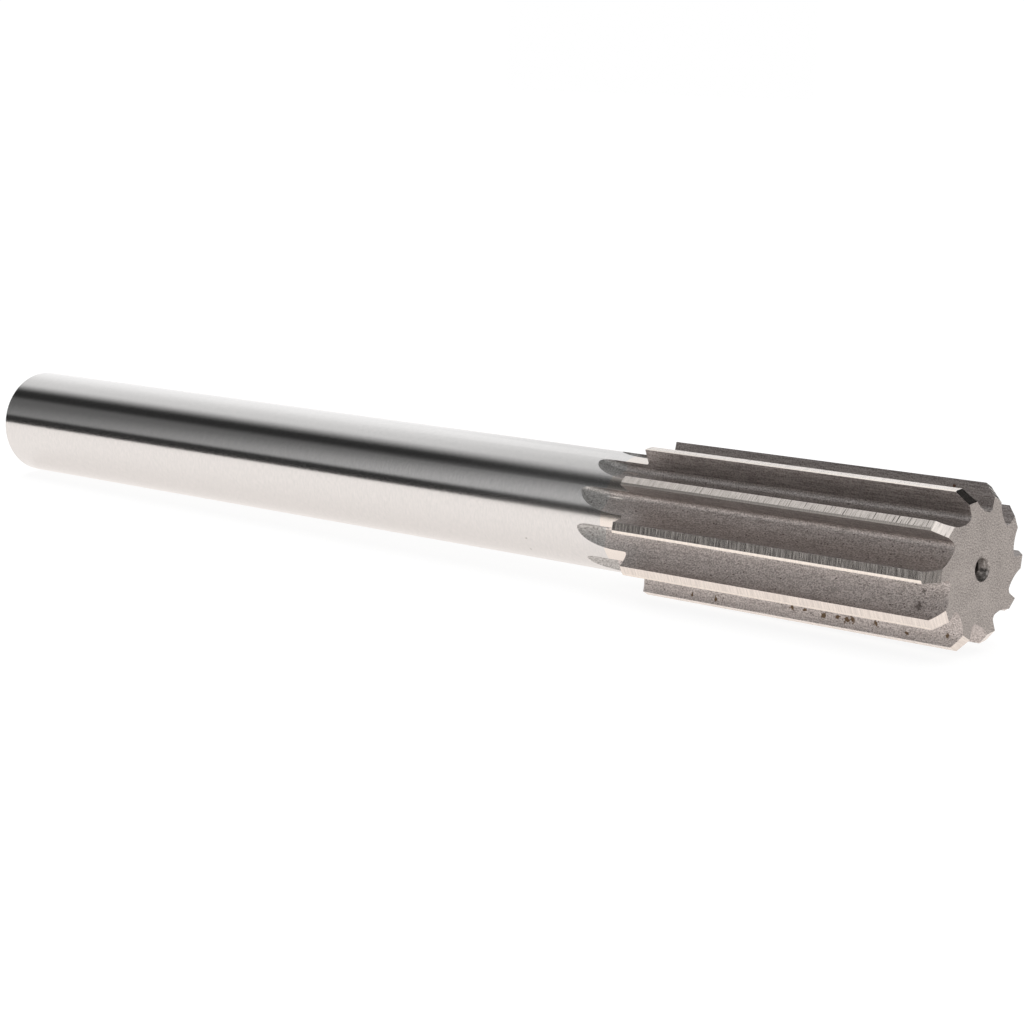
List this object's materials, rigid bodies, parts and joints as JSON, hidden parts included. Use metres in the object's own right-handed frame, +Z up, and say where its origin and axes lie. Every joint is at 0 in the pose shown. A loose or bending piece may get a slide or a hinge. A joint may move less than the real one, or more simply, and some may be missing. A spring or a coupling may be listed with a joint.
{
  "type": "machine reamer",
  "caption": "Straight-shank machine reamer of ground high-speed steel, with straight flutes on a larger head, chamfered teeth and centre holes in both ends.",
  "frame": {"origin": "on the floor that the tool lies on, under the middle of its length", "axes": "+X towards the cutting end, along the floor; +Z up; the tool axis is in the XZ plane and falls by about 0.8 degrees towards the shank's end, because the head is larger than the shank"},
  "size_m": [0.2924, 0.0324, 0.0322],
  "materials": {
    "high_speed_steel": "ground shank and lands, satin flutes"
  },
  "bodies": {
    "root": {"reamer": "high_speed_steel"}
  },
  "joints": []
}
